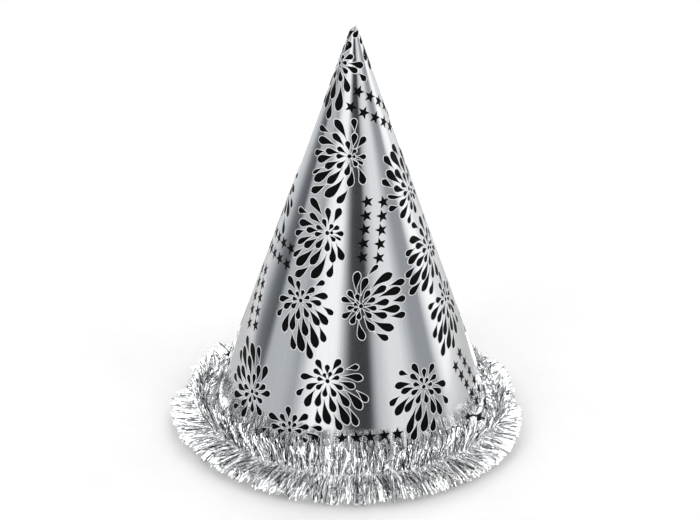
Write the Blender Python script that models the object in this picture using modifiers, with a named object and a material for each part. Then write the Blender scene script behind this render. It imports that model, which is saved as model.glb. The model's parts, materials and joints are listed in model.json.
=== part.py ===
"""New year party hat: a rolled card cone with a tinsel garland round its brim and an elastic chin strap.

Metres, +Z up. The origin is the centre of the head opening, in the plane of the card's bottom edge.
The X axis runs under both elastic holes, and the card's seam is at the back, towards +Y.
"""

import math

import bmesh
import bpy
from mathutils import Matrix, Vector

# Driving dimensions of the card.
SLANT = 0.250  # radius of the flat sector: from the tip to the bottom edge
BRIM_RADIUS = 0.075  # outside of the card at its bottom edge
CARD = 0.0004
TIP_SLANT = 0.006  # the roll starts here, so the tip keeps a small hole
GAP = 0.0003  # left between pieces that touch
TAPE = 0.0001
OVERLAP_ANGLE = math.radians(9)  # how far the outer end of the sheet laps over the inner one
RAMP_ANGLE = math.radians(60)  # the stretch in which the sheet climbs out of its own overlap
TAPE_MARGIN = math.radians(1)  # the tape is this much narrower than the overlap, on both sides

# Driving dimensions of the garland. A place is (distance from the hat's axis, height).
CORE_RADIUS = 0.081
CORE_HEIGHT = 0.010
THREAD_RADIUS = 0.00045
TWIST_RADIUS = 0.00078
TWISTS = 24
STRAND = 0.0155  # length of the foil strands, from the threads outwards
STRAND_UP = 0.0190  # the strands that lie up the card have no table to shorten them
LEANING_TOP = 0.85  # how much of that length is height, for the strands that touch the card
LEANING_ANGLE = 113  # of those strands, in degrees above level
HANGING_OUT = 60  # the strands below this angle, in degrees, hang free of the card
SHORT_TUFT = 0.88  # every other tuft is this much of the full length
TUFTS = 54
HEM_HEIGHT = 0.0006
BEAD_RADIUS = 0.0011  # of the glue

# Driving dimensions of the elastic.
HOLE_HEIGHT = 0.016
HOLE_RADIUS = 0.0012
CORD_RADIUS = 0.0005
KNOT_RADIUS = 0.0019
BOW_RADIUS = 0.061
BOW_BEND = 0.003  # radius of the bend between the bow and the straight run through a hole

# Worked out from those.
SIN_CONE = BRIM_RADIUS / SLANT
COS_CONE = math.sqrt(1 - SIN_CONE**2)
SLOPE = SIN_CONE / COS_CONE
PLY_STEP = CARD + TAPE + 2 * GAP
CORE = (CORE_RADIUS, CORE_HEIGHT)
CHANNEL_RADIUS = TWIST_RADIUS + THREAD_RADIUS + 2 * GAP  # the room for the threads inside the foil
BOW_REST = math.asin((HOLE_HEIGHT - CORD_RADIUS - 2 * GAP) / (BOW_RADIUS + BOW_BEND))  # dip to the table
STEPS_ROUND = 96


def card_radius(height):
    """Outside radius of the card at a height."""
    return BRIM_RADIUS - height * SLOPE


def on_cone(slant, angle, lift):
    """A point at a slant distance from the tip, at an angle from +Y, lifted off the card's outside."""
    radius = slant * SIN_CONE + lift * COS_CONE
    height = (SLANT - slant) * COS_CONE + lift * SIN_CONE
    return Vector((-radius * math.sin(angle), radius * math.cos(angle), height))


def clear_scene():
    for thing in list(bpy.data.objects):
        bpy.data.objects.remove(thing, do_unlink=True)


def collection(name):
    made = bpy.data.collections.new(name)
    bpy.context.scene.collection.children.link(made)
    return made


def material(name, colour, roughness, metallic):
    made = bpy.data.materials.new(name)
    made.use_nodes = True
    shader = made.node_tree.nodes["Principled BSDF"]
    shader.inputs["Base Color"].default_value = (*colour, 1)
    shader.inputs["Roughness"].default_value = roughness
    shader.inputs["Metallic"].default_value = metallic
    return made


def add_object(name, data, group, finish=None):
    thing = bpy.data.objects.new(name, data)
    group.objects.link(thing)
    if finish:
        data.materials.append(finish)
    return thing


def sheet_on_cone(name, slants, angles, lift_at):
    """A grid wrapped round the cone: one row of points for each slant, one column for each angle."""
    bm = bmesh.new()
    bmesh.ops.create_grid(bm, x_segments=len(angles) - 1, y_segments=len(slants) - 1, size=0.5)
    for vert in bm.verts:
        column = round((vert.co.x + 0.5) * (len(angles) - 1))
        row = round((vert.co.y + 0.5) * (len(slants) - 1))
        angle = angles[column]
        vert.co = on_cone(slants[row], angle, lift_at(angle))
    bmesh.ops.recalc_face_normals(bm, faces=bm.faces)
    mesh = bpy.data.meshes.new(name)
    bm.to_mesh(mesh)
    bm.free()
    mesh.shade_smooth()
    return mesh


def face_outwards(mesh):
    """Turns an open sheet's faces away from the hat's axis."""
    face = mesh.polygons[0]
    if face.normal.x * face.center.x + face.normal.y * face.center.y < 0:
        mesh.flip_normals()


def evenly(first, last, count):
    return [first + (last - first) * i / (count - 1) for i in range(count)]


def thicken(thing, thickness):
    """Thickness inwards from an outward-facing sheet."""
    solidify = thing.modifiers.new("thickness", "SOLIDIFY")
    solidify.thickness = thickness
    solidify.offset = -1


def hide_cutter(thing):
    thing.hide_render = True
    thing.display_type = "WIRE"


def cut(thing, cutter):
    boolean = thing.modifiers.new(cutter.name, "BOOLEAN")
    boolean.operation = "DIFFERENCE"
    boolean.object = cutter


def rod_along_x(name, radius, height, group):
    """A cutter that runs right through the hat, parallel to X."""
    bm = bmesh.new()
    length = 4 * BRIM_RADIUS
    bmesh.ops.create_cone(
        bm, cap_ends=True, segments=24, radius1=radius, radius2=radius, depth=length,
        matrix=Matrix.Rotation(math.pi / 2, 4, "Y"),
    )
    mesh = bpy.data.meshes.new(name)
    bm.to_mesh(mesh)
    bm.free()
    rod = add_object(name, mesh, group)
    rod.location.z = height
    hide_cutter(rod)
    return rod


def sheet_lift(angle):
    """How far the sheet stands off the cone: it starts inside the overlap and climbs out of it."""
    ramp = min(max((angle - OVERLAP_ANGLE) / RAMP_ANGLE, 0), 1)
    return PLY_STEP * (ramp * ramp * (3 - 2 * ramp) - 1)


def block_under_brim(group):
    """A cutter whose top is the brim plane, which trims the card's edge flat."""
    bm = bmesh.new()
    bmesh.ops.create_cube(bm, size=4 * BRIM_RADIUS)
    mesh = bpy.data.meshes.new("brim_trim")
    bm.to_mesh(mesh)
    bm.free()
    block = add_object("brim_trim", mesh, group)
    block.location.z = -2 * BRIM_RADIUS
    hide_cutter(block)
    return block


def make_cone_card(group, finish, hole_cutter, brim_cutter):
    angles = evenly(0, 2 * math.pi + OVERLAP_ANGLE, STEPS_ROUND + 5)
    slants = evenly(TIP_SLANT, SLANT + 2 * CARD, 3)
    mesh = sheet_on_cone("cone_card", slants, angles, sheet_lift)
    face_outwards(mesh)
    card = add_object("cone_card", mesh, group, finish)
    thicken(card, CARD)
    cut(card, brim_cutter)
    cut(card, hole_cutter)


def make_seam_tape(group, finish):
    """Double-sided tape between the two plies of the overlap."""
    angles = evenly(TAPE_MARGIN, OVERLAP_ANGLE - TAPE_MARGIN, 4)
    slants = evenly(0.1 * SLANT, SLANT - 4 * GAP, 3)
    mesh = sheet_on_cone("seam_tape", slants, angles, lambda angle: -CARD - GAP)
    face_outwards(mesh)
    tape = add_object("seam_tape", mesh, group, finish)
    thicken(tape, TAPE)


def arc(centre, radius, start, end, count):
    """Points on an arc, in (radius, height), from one angle above level to another, in degrees."""
    points = []
    for degrees in evenly(start, end, count):
        turn = math.radians(degrees)
        points.append((centre[0] + radius * math.cos(turn), centre[1] + radius * math.sin(turn)))
    return points


def beside_card(height):
    """A point just clear of the card's outside."""
    return card_radius(height) + GAP / COS_CONE, height


def ring(name, profile, group, finish):
    """A closed outline of (radius, height) points, clockwise, turned about the hat's axis."""
    bm = bmesh.new()
    verts = [bm.verts.new((radius, 0, height)) for radius, height in profile]
    for i, vert in enumerate(verts):
        bm.edges.new((vert, verts[(i + 1) % len(verts)]))
    mesh = bpy.data.meshes.new(name)
    bm.to_mesh(mesh)
    bm.free()
    thing = add_object(name, mesh, group, finish)
    screw = thing.modifiers.new("turn", "SCREW")
    screw.steps = STEPS_ROUND
    screw.render_steps = STEPS_ROUND
    screw.use_merge_vertices = True
    screw.merge_threshold = 0.00001
    screw.use_smooth_shade = True


def toothed_ring(name, profile_at, group, finish):
    """A ring lofted between long and short sections by turns, which gives the foil its tufted edge."""
    bm = bmesh.new()
    columns = []
    for i in range(2 * TUFTS):
        around = math.pi * i / TUFTS
        profile = profile_at(1 if i % 2 else SHORT_TUFT)
        places = [(r * math.cos(around), r * math.sin(around), height) for r, height in profile]
        columns.append([bm.verts.new(place) for place in places])
    for i, column in enumerate(columns):
        following = columns[(i + 1) % len(columns)]
        for j in range(len(column)):
            k = (j + 1) % len(column)
            bm.faces.new((column[j], column[k], following[k], following[j]))
    mesh = bpy.data.meshes.new(name)
    bm.to_mesh(mesh)
    bm.free()
    return add_object(name, mesh, group, finish)


def upper_profile(reach):
    """The strands from level to straight up the card, with room for the threads and the glue."""
    floor = CORE_HEIGHT + GAP / 2
    top = CORE_HEIGHT + LEANING_TOP * STRAND_UP * reach
    profile = [beside_card(CORE_HEIGHT + 2 * BEAD_RADIUS), beside_card(top)]
    profile += arc(CORE, STRAND_UP * reach, LEANING_ANGLE, 90, 2)
    profile += arc(CORE, STRAND * reach, HANGING_OUT, 2, 3)
    profile += [(CORE_RADIUS + CHANNEL_RADIUS, floor)]
    profile += arc(CORE, CHANNEL_RADIUS, 45, 135, 2)
    profile += [(CORE_RADIUS - CHANNEL_RADIUS, floor)]
    profile += [(card_radius(CORE_HEIGHT) + 4 * BEAD_RADIUS, floor)]
    return profile


def lower_profile(reach):
    """The strands from level down to the table."""
    roof = CORE_HEIGHT - GAP / 2
    droop = math.degrees(math.asin((CORE_HEIGHT - HEM_HEIGHT) / (STRAND * reach)))
    profile = [(card_radius(CORE_HEIGHT) + 4 * BEAD_RADIUS, roof)]
    profile += [(CORE_RADIUS - CHANNEL_RADIUS, roof)]
    profile += arc(CORE, CHANNEL_RADIUS, 225, 315, 2)
    profile += [(CORE_RADIUS + CHANNEL_RADIUS, roof)]
    profile += arc(CORE, STRAND * reach, -2, -droop, 3)
    profile += [(beside_card(HEM_HEIGHT)[0] + 3 * GAP, HEM_HEIGHT)]
    profile += [beside_card(HEM_HEIGHT + 3 * GAP), beside_card(CORE_HEIGHT - 2 * BEAD_RADIUS)]
    return profile


def make_tinsel_foil(group, finish, knot_cutter):
    """The foil strands, as the two brushes that the threads part them into."""
    upper = toothed_ring("tinsel_foil_upper", upper_profile, group, finish)
    cut(upper, knot_cutter)
    toothed_ring("tinsel_foil_lower", lower_profile, group, finish)


def make_glue_bead(group, finish):
    centre = (card_radius(CORE_HEIGHT) + (BEAD_RADIUS + GAP) / COS_CONE, CORE_HEIGHT)
    ring("garland_glue_bead", arc(centre, BEAD_RADIUS, 360, 60, 6), group, finish)


def wire_curve(name, points, closed, radius, resolution):
    curve = bpy.data.curves.new(name, "CURVE")
    curve.dimensions = "3D"
    curve.bevel_depth = radius
    curve.bevel_resolution = resolution
    curve.use_fill_caps = True
    spline = curve.splines.new("POLY")
    spline.points.add(len(points) - 1)
    for place, point in zip(spline.points, points):
        place.co = (*point, 1)
    spline.use_cyclic_u = closed
    return curve


def make_core_thread(name, start, group, finish):
    """One of the two threads, which wind round each other along the brim."""
    points = []
    count = 8 * TWISTS
    for i in range(count):
        around = 2 * math.pi * i / count
        twist = start + TWISTS * around
        radius = CORE_RADIUS + TWIST_RADIUS * math.cos(twist)
        height = CORE_HEIGHT + TWIST_RADIUS * math.sin(twist)
        points.append((radius * math.cos(around), radius * math.sin(around), height))
    add_object(name, wire_curve(name, points, True, THREAD_RADIUS, 1), group, finish)


def bow_points(knot_place):
    """Half of the elastic in its own plane, from the knot at +X to the middle of the bow, as (x, depth)."""
    points = [(knot_place + 2 * KNOT_RADIUS, 0)]
    corner = (BOW_RADIUS + BOW_BEND, BOW_BEND)
    for turn in evenly(math.pi / 2, math.pi, 5):
        points.append((corner[0] + BOW_BEND * math.cos(turn), corner[1] - BOW_BEND * math.sin(turn)))
    for turn in evenly(0, math.pi / 2, 13)[1:]:
        points.append((BOW_RADIUS * math.cos(turn), BOW_BEND + BOW_RADIUS * math.sin(turn)))
    return points


def as_mesh_object(thing, group):
    """Turns a curve object into a mesh object with welded caps, in the same place."""
    graph = bpy.context.evaluated_depsgraph_get()
    mesh = bpy.data.meshes.new_from_object(thing.evaluated_get(graph))
    bm = bmesh.new()
    bm.from_mesh(mesh)
    bmesh.ops.remove_doubles(bm, verts=bm.verts, dist=0.00001)
    bm.to_mesh(mesh)
    bm.free()
    name = thing.name
    place = thing.matrix_world.copy()
    bpy.data.objects.remove(thing, do_unlink=True)
    mesh.shade_smooth()
    made = add_object(name, mesh, group)
    made.matrix_world = place
    return made


def make_knot(name, x, group):
    """A knot is a squashed ball, to be joined to the cord."""
    bm = bmesh.new()
    squash = Matrix.Diagonal((0.8, 1, 1, 1))
    turn = Matrix.Rotation(math.pi / 2, 4, "Y")
    bmesh.ops.create_uvsphere(bm, u_segments=16, v_segments=10, radius=KNOT_RADIUS, matrix=squash @ turn)
    mesh = bpy.data.meshes.new(name)
    bm.to_mesh(mesh)
    bm.free()
    knot = add_object(name, mesh, group)
    knot.location = (x, 0, HOLE_HEIGHT)
    hide_cutter(knot)
    return knot


def make_chin_elastic(group, cutters, finish):
    """A bow of elastic cord, knotted outside the card. Its parent empty is on the line through the holes."""
    knot_place = card_radius(HOLE_HEIGHT) + (KNOT_RADIUS + GAP) / COS_CONE
    half = bow_points(knot_place)
    whole = half + [(-x, depth) for x, depth in reversed(half[:-1])]
    down, back = math.sin(BOW_REST), math.cos(BOW_REST)
    points = [(x, depth * back, -depth * down) for x, depth in whole]
    pivot = bpy.data.objects.new("chin_elastic_pivot", None)
    group.objects.link(pivot)
    pivot.location.z = HOLE_HEIGHT
    curve = wire_curve("chin_elastic", points, False, CORD_RADIUS, 2)
    cord = add_object("chin_elastic", curve, group, finish)
    cord.parent = pivot
    bpy.context.view_layer.update()
    cord = as_mesh_object(cord, group)
    cord.parent = pivot
    cord.matrix_parent_inverse = pivot.matrix_world.inverted()
    bpy.context.view_layer.update()
    for side, name in ((1, "knot_right"), (-1, "knot_left")):
        union = cord.modifiers.new(name, "BOOLEAN")
        union.operation = "UNION"
        union.object = make_knot(name, side * knot_place, cutters)


def main():
    clear_scene()
    hat = collection("party_hat")
    cutters = collection("cutters")
    foil_card = material("foil_card", (0.72, 0.73, 0.74), 0.28, 1.0)
    tape = material("clear_tape", (0.85, 0.84, 0.78), 0.5, 0.0)
    tinsel = material("tinsel", (0.80, 0.81, 0.83), 0.22, 1.0)
    thread = material("thread", (0.75, 0.75, 0.76), 0.5, 0.3)
    glue = material("glue", (0.86, 0.83, 0.74), 0.45, 0.0)
    elastic = material("elastic", (0.015, 0.015, 0.017), 0.8, 0.0)
    hole_cutter = rod_along_x("elastic_holes", HOLE_RADIUS, HOLE_HEIGHT, cutters)
    knot_cutter = rod_along_x("knot_room", KNOT_RADIUS + 3 * GAP, HOLE_HEIGHT, cutters)
    make_cone_card(hat, foil_card, hole_cutter, block_under_brim(cutters))
    make_seam_tape(hat, tape)
    make_glue_bead(hat, glue)
    make_core_thread("garland_core_thread_a", 0, hat, thread)
    make_core_thread("garland_core_thread_b", math.pi, hat, thread)
    make_tinsel_foil(hat, tinsel, knot_cutter)
    make_chin_elastic(hat, cutters, elastic)


main()
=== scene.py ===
"""Looks of the new year party hat: a printed foil cone, a tinsel garland and an elastic cord.

Metres, +Z up, in the CAD's own frame. Angles round the hat go from +Y towards -X.
A place on the flat sheet is (across, down): down is the distance below the tip along the line that
faces the camera, and across is to the right of that line.
"""

import json
import math

import bpy
import numpy as np
from mathutils import Matrix, Vector


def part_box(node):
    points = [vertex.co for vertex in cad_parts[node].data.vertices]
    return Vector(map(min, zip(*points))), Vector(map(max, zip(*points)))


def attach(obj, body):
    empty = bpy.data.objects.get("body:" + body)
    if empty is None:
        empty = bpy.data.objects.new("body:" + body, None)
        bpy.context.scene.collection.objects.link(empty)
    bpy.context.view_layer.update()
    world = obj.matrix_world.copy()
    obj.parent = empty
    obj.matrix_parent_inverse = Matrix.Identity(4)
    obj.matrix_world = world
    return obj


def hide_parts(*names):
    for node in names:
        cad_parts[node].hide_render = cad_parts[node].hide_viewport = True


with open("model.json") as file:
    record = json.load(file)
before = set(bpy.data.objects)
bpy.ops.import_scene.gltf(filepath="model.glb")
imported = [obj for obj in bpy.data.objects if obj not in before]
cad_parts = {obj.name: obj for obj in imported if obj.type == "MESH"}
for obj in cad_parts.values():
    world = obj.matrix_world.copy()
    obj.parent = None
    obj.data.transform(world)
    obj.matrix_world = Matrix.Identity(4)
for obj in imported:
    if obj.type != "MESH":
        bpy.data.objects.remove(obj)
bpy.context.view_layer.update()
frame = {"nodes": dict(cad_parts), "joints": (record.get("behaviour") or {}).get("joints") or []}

# The card, as it is in the CAD.
BRIM_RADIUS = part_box("cone_card")[1].x
SLANT = 0.250
CARD = 0.0004
TAPE = 0.0001
GAP = 0.0003  # left between pieces that touch
PLY_STEP = CARD + TAPE + 2 * GAP
OVERLAP = math.radians(9)
RAMP = math.radians(60)
SIN_CONE = BRIM_RADIUS / SLANT
COS_CONE = math.sqrt(1 - SIN_CONE**2)
SLOPE = SIN_CONE / COS_CONE

# The garland, as it is in the CAD.
TWIST_RADIUS = 0.00078
THREAD_RADIUS = 0.00045
CORE_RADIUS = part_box("garland_core_thread_a")[1].x - TWIST_RADIUS - THREAD_RADIUS
CORE_HEIGHT = sum(corner.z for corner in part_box("garland_core_thread_a")) / 2

# The elastic, as it is in the CAD.
HOLE_HEIGHT = frame["joints"][0]["pos_m"][2]
CORD_RADIUS = 0.0005
KNOT_RADIUS = 0.0019
BOW_RADIUS = 0.061
BOW_BEND = 0.003
BOW_REST = math.asin((HOLE_HEIGHT - CORD_RADIUS - 2 * GAP) / (BOW_RADIUS + BOW_BEND))

CAMERA_SIDE = math.radians(25)  # the camera stands this far round from -Y towards +X
FACING = math.pi + CAMERA_SIDE  # the angle round the hat that faces the camera
UP = np.array([0.0, 0.0, 1.0])

# How the real card differs from the plain cone of the CAD.
WAVES = ((0.00050, 3, 0.6), (0.00022, 7, 2.1), (0.00006, 19, 0.3))  # height, number round the hat, start
TIGHT_SHARE = 0.4  # of the step between the plies, where they lie closest together at the tip
TIGHT_LENGTH = 0.030  # of the sheet below the tip, in which the step grows to the whole one
TIP_SLANT = 0.0050
TIP_SKEW = 0.0014
TIP_SKEW_SIDE = math.radians(75)  # from the facing side
CARD_COLUMNS = 370
CARD_ROWS = 26

# The print.
BURSTS = (  # across, down, the way the long petals point (0 is to the brim, 90 to the right), extra height
    (-0.0020, 0.0730, -60, 0.26), (-0.01375, 0.1145, -50, 0.26), (0.0380, 0.09375, -136, 0.10),
    (0.0520, 0.12675, -54, 0.15), (-0.02875, 0.1520, 13, 0.12), (0.0045, 0.1530, 98, 0.16),
    (0.0645, 0.1560, -20, 0.10), (-0.0600, 0.2050, -150, 0.10), (-0.0130, 0.19375, 24, -0.03),
    (0.0400, 0.1990, -17, 0.03), (-0.0340, 0.2220, 0, 0), (-0.0590, 0.0930, 20, 0.10),
    (-0.0090, 0.0243, -15, 0.10), (0.0060, 0.0040, -5, 0.10),
)
STAR_ROWS = (  # across, down, and how far the two rows of stars are turned clockwise
    (0.01075, 0.1125, -85), (0.0140, 0.0490, 25), (-0.0525, 0.1260, 195), (-0.0680, 0.1555, -90),
    (0.0100, 0.2280, -3), (0.0790, 0.2000, 48),
)
INK_LIFT = 0.00007
OUTLINE_LIFT = 0.00003
INK_ROOT = -0.00002  # every mark reaches a little into the card
OUTLINE = 0.00033  # how far the pale outline reaches past the ink
EDGE_MARGIN = 0.0006  # no mark comes closer to an edge of the sheet
SPOKES = 8
RINGS = (  # half spokes round, start, length, width, and how far that side must be stretched to have it
    (0, 0.0019, 0.0056, 0.0026, 0.0), (1, 0.0050, 0.0090, 0.0034, 0.0),
    (0, 0.0080, 0.0118, 0.0041, 0.0), (1, 0.0142, 0.0080, 0.0033, 0.82),
)
STRETCH = 0.32  # the long side of a burst is this much larger than the middle, the short side smaller
PETAL_BEND = 46  # radians for each metre from the middle, for a petal straight across the lean
PETAL_TURN = 0.05  # the most that a petal is turned out of its place, in radians
PETAL_POINT = 0.00004  # half the width of its pointed end
PETAL_STEPS = 12
NARROWER = (1, 0.85, 0.7, 0.55)  # shares of its width that a petal may have in a crowded place
DOT_RADIUS = 0.00115
PETAL_GAP = 0.00025
STAR_RADIUS = 0.0036
STAR_WAIST = 0.42  # of that radius
STAR_RINGS = 3
STAR_ROOM = 0.85  # of its radius, which is kept free of other print
STAR_STEP = 0.0074
STAR_ROW_STEP = 0.0090
SPACING = 0.0415  # between the centres of the marks that aren't listed
TIGHTER = (1.08, 1, 0.93, 0.88)  # shares of the spacing, tried one after another
TRIES = 2500
LISTED_SIDE = math.radians(80)  # from the facing side: up to here every mark is listed
LISTED_DOWN = 0.235
SCATTER_TURN = math.radians(137.5)
SCATTER_TALLER = 0.12

# The garland's foil.
BUNDLES = 2300  # of each brush, each a piece of film that is slit into strands
BUNDLE = 3
STRANDS = BUNDLES * BUNDLE
BUNDLE_STEP = 0.0026  # radians between the strands of one bundle
FOIL_WIDTH = 0.00047
FOIL_THICK = 0.00005
STEPS = 4  # pieces that a strand bends between
PARTINGS = (math.radians(-102), math.radians(90))  # from the facing side, where the tufts fall apart
TUCK = 0.0045  # how much closer to the card the garland runs round the back
TUCKED = (72, 105, 140, 160)  # degrees either side: where it starts to, does wholly, starts to end and ends
TUCK_TURN = math.radians(8)
PARTING_LEAN = 0.9
PARTING_WIDTH = 0.10  # radians
SIDE_LEAN = 0.30  # how far the strands at the sides and the back lean away from the camera
LEAN_WAVE = 0.08
RISE_WAVE = 0.06
# How strands differ, in radians: how far bundles spread, and how far the strands of one.
LEAN_SPREAD = (0.08, 0.02)
BEND_SPREAD = (0.13, 0.04)
SWAY_SPREAD = (0.08, 0.04)
ROLL_SPREAD = (0.75, 0.25)
TWIST_SPREAD = 0.6
CURL = 0.04
PLACE_SPREAD = 0.0008
# The least and the most of a number that differs from strand to strand.
LENGTH_SHARES = (0.86, 1.0)
WIDTH_SHARES = (0.75, 1.2)
CARD_CLEARANCES = (0.0003, 0.0016)
TABLE_CLEARANCES = (0.0003, 0.0020)
# The strands between the core and the card, which point inwards.
INWARD_LENGTH = 0.0092
INWARD_SHARES = (0.6, 1.0)
INWARD_RISES = (math.radians(100), math.radians(165))
KNOT_ROOM = 0.0007  # kept free of strands round a knot
TO_CAMERA = (0.36, -0.77, 0.53)  # the way from the hat to the camera
OPENED = ((-1, 0.0), (1, 0.026))  # for each knot, the length of the view to the camera that is kept open
OUTWARD = (  # degrees from the facing side, length, least and greatest rise of the strands there
    (-180, 0.0155, -44, 14), (-150, 0.0150, -44, 14), (-142, 0.0120, -60, 5), (-134, 0.0088, -82, -38),
    (-126, 0.0088, -78, -25), (-118, 0.0098, -48, 2), (-101, 0.0090, -40, 4), (-95, 0.0104, -42, -8),
    (-90, 0.0140, -42, -10), (-84, 0.0160, -42, -4), (-75, 0.0172, -42, 6), (-64, 0.0172, -42, 14),
    (-58, 0.0162, -44, 14), (0, 0.0175, -44, 14), (58, 0.0162, -44, 14), (68, 0.0142, -42, 16),
    (76, 0.0122, -40, 8), (88, 0.0098, -42, -2), (98, 0.0094, -45, 0), (108, 0.0090, -60, -8),
    (118, 0.0088, -76, -18), (124, 0.0088, -82, -38), (134, 0.0088, -82, -38), (142, 0.0120, -60, 5),
    (150, 0.0150, -44, 14), (180, 0.0155, -44, 14),
)
UPWARD = (  # the same for the strands that stand up
    (-180, 0.0180, 64, 112), (-152, 0.0160, 58, 108), (-140, 0.0100, 10, 60), (-132, 0.0080, -45, -5),
    (-124, 0.0082, -25, 6), (-116, 0.0110, 5, 52), (-104, 0.0120, 12, 85), (-97, 0.0110, 45, 100),
    (-88, 0.0115, 60, 105), (-76, 0.0140, 60, 106), (-50, 0.0180, 62, 112), (-40, 0.0195, 64, 112),
    (0, 0.0205, 64, 112), (32, 0.0175, 64, 112), (48, 0.0168, 60, 112), (60, 0.0135, 55, 108),
    (78, 0.0115, 45, 104), (90, 0.0105, 24, 80), (98, 0.0100, 10, 48), (106, 0.0092, -12, 18),
    (118, 0.0085, -50, -12), (124, 0.0085, -68, -30), (132, 0.0085, -68, -30), (140, 0.0100, 10, 60),
    (152, 0.0160, 58, 108), (180, 0.0180, 64, 112),
)

# The elastic's own detail.
KNOT_SLACK = 0.0022  # how far the right knot stands off the card
KNOT_SIZE = 0.00060  # a third of the way from the middle of a knot to its outer turns
CORD_CORNERS = 12
YARN_PITCH = 0.0024
KINK = 0.00022  # how far the bow's soft kinks stray from its curve
INTO_KNOT = 0.0010  # how far the bow's ends run into the knots

# The tinsel's painted shade: a share of the strands is painted dark, standing for strands that mirror the
# studio's dark parts and lie in shade among the others.
TINSEL_PAINTED_SHADE = ((0.33, 0.02), (0.41, 0.76), (0.51, 0.96), (0.80, 0.985))  # place on the ramp, brightness

# The studio.
PANELS = (  # degrees round from the camera, to the right of it, and how bright the studio is there
    (-180, 0.10), (-172, 0.12), (-165, 0.62), (-150, 0.74), (-128, 0.50), (-118, 0.32), (-110, 0.17),
    (-98, 0.10), (-93, 0.22), (-88, 0.50), (-66, 0.52), (-54, 0.38), (-48, 0.52), (-42, 0.90), (-36, 1.06),
    (-16, 1.02), (-8, 0.45), (-3, 0.05), (19, 0.04), (26, 0.55), (34, 0.84), (50, 0.82), (58, 0.56),
    (64, 0.34), (84, 0.34), (93, 0.82), (100, 1.10), (112, 1.15), (122, 0.86), (150, 0.80), (172, 0.14),
)
COOL_SHADE = 0.08  # how blue the dark gaps are
CEILING_PANELS = 7
CEILING_EDGE = 0.35  # a panel fades between this below and above the middle of its wave
CEILING_GAP = 0.40
CEILING = 3.9
CEILING_RISE = (0.30, 0.50)  # the heights in the sky between which the ceiling fades in
GROUND = 5.5
GROUND_DIP = (-0.42, -0.52)
BACKDROP = (1.2, 1.2, 1.2, 1)  # what the camera sees behind the floor
FLOOR_REACH = 1.5
FLOOR_DEPTH = 0.0002  # the floors lie just below the hat, one below the other
FLOOR_ALBEDO = 0.46
MIRRORED_ALBEDOS = (0.27, 0.34)  # of the ring of floor that the foil mirrors, at its two edges
MIRRORED_RADII = (0.12, 0.30)
MIRRORED_CORNERS = 96
LIGHTS = (("key", -50, 50), ("fill", 60, 58), ("back", 170, 55))  # degrees round from the camera, and up
LIGHT_DISTANCE = 1.6
LIGHT_SIZE = 0.5
LIGHT_POWER = 3.2
CAMERA_DISTANCE = 4.0848
CAMERA_RISE = math.radians(31.905)
CAMERA_PITCH = math.radians(30.781)
CAMERA_ROLL = math.radians(0.303)
LENS = 394.5
LENS_SHIFT = -0.0039


# Shapes


def unit(vectors):
    return vectors / np.linalg.norm(vectors, axis=-1, keepdims=True)


def outward(around):
    """The level directions away from the hat's axis, at angles round it."""
    return np.stack([-np.sin(around), np.cos(around), np.zeros_like(around)], -1)


def onward(around):
    """The level directions round the hat, at angles round it."""
    return np.stack([-np.cos(around), -np.sin(around), np.zeros_like(around)], -1)


def make_piece(name, verts, faces, body, materials, material_ids=None, sharp=40):
    """A mesh object that rides on a body."""
    mesh = bpy.data.meshes.new(name)
    mesh.from_pydata(verts.tolist(), [], faces)
    for finish in materials:
        mesh.materials.append(finish)
    if material_ids is not None:
        mesh.polygons.foreach_set("material_index", material_ids)
    mesh.shade_smooth()
    mesh.set_sharp_from_angle(angle=math.radians(sharp))
    piece = bpy.data.objects.new(name, mesh)
    bpy.context.scene.collection.objects.link(piece)
    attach(piece, body)
    return piece


def grid_faces(rows, columns, start=0, turned=False):
    """Quads over a grid of points numbered row by row."""
    corner = start + np.arange(rows - 1)[:, None] * columns + np.arange(columns - 1)[None, :]
    quads = np.stack([corner, corner + 1, corner + columns + 1, corner + columns], -1).reshape(-1, 4)
    return quads[:, ::-1] if turned else quads


def slab(top, bottom):
    """A closed solid between two grids of points of the same size: its points, faces and face groups.

    The groups are 0 for the top, 1 for the bottom and 2 for the rim.
    """
    rows, columns = top.shape[:2]
    count = rows * columns
    index = np.arange(count).reshape(rows, columns)
    border = np.concatenate([index[0], index[1:, -1], index[-1, -2::-1], index[-2:0:-1, 0]])
    after = np.roll(border, -1)
    rim = np.stack([border, border + count, after + count, after], -1)
    faces = np.concatenate([
        grid_faces(rows, columns), grid_faces(rows, columns, count, turned=True), rim,
    ])
    groups = np.repeat([0, 1, 2], [(rows - 1) * (columns - 1), (rows - 1) * (columns - 1), len(rim)])
    verts = np.concatenate([top.reshape(-1, 3), bottom.reshape(-1, 3)])
    return verts, faces, groups


def join(solids):
    """Many (points, faces) as one."""
    verts = []
    faces = []
    count = 0
    for points, polygons in solids:
        verts.append(points)
        faces += [tuple(corner + count for corner in polygon) for polygon in polygons]
        count += len(points)
    return np.concatenate(verts), faces


def sweep(centres, side, up, section, closed):
    """A section, as (side, up) for each step and corner, carried along a line of centres."""
    steps, corners = section.shape[:2]
    verts = (
        centres[:, None] + section[..., :1] * side[:, None] + section[..., 1:] * up[:, None]
    ).reshape(-1, 3)
    faces = []
    for i in range(steps if closed else steps - 1):
        here = i * corners
        there = (i + 1) % steps * corners
        for j in range(corners):
            k = (j + 1) % corners
            faces.append((here + j, here + k, there + k, there + j))
    if not closed:
        faces.append(tuple(range(corners - 1, -1, -1)))
        faces.append(tuple((steps - 1) * corners + j for j in range(corners)))
    return verts, faces


def round_section(radii, corners):
    """Circles, one for each radius."""
    turn = 2 * math.pi * np.arange(corners) / corners
    return np.stack([np.cos(turn), np.sin(turn)], -1)[None] * np.asarray(radii).reshape(len(radii), -1, 1)


def frames_along(centres, closed, hint):
    """Side and up vectors across a line of points."""
    if closed:
        along = np.roll(centres, -1, 0) - np.roll(centres, 1, 0)
    else:
        along = np.gradient(centres, axis=0)
    along = unit(along)
    side = unit(np.cross(hint, along))
    return side, np.cross(along, side)


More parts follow.
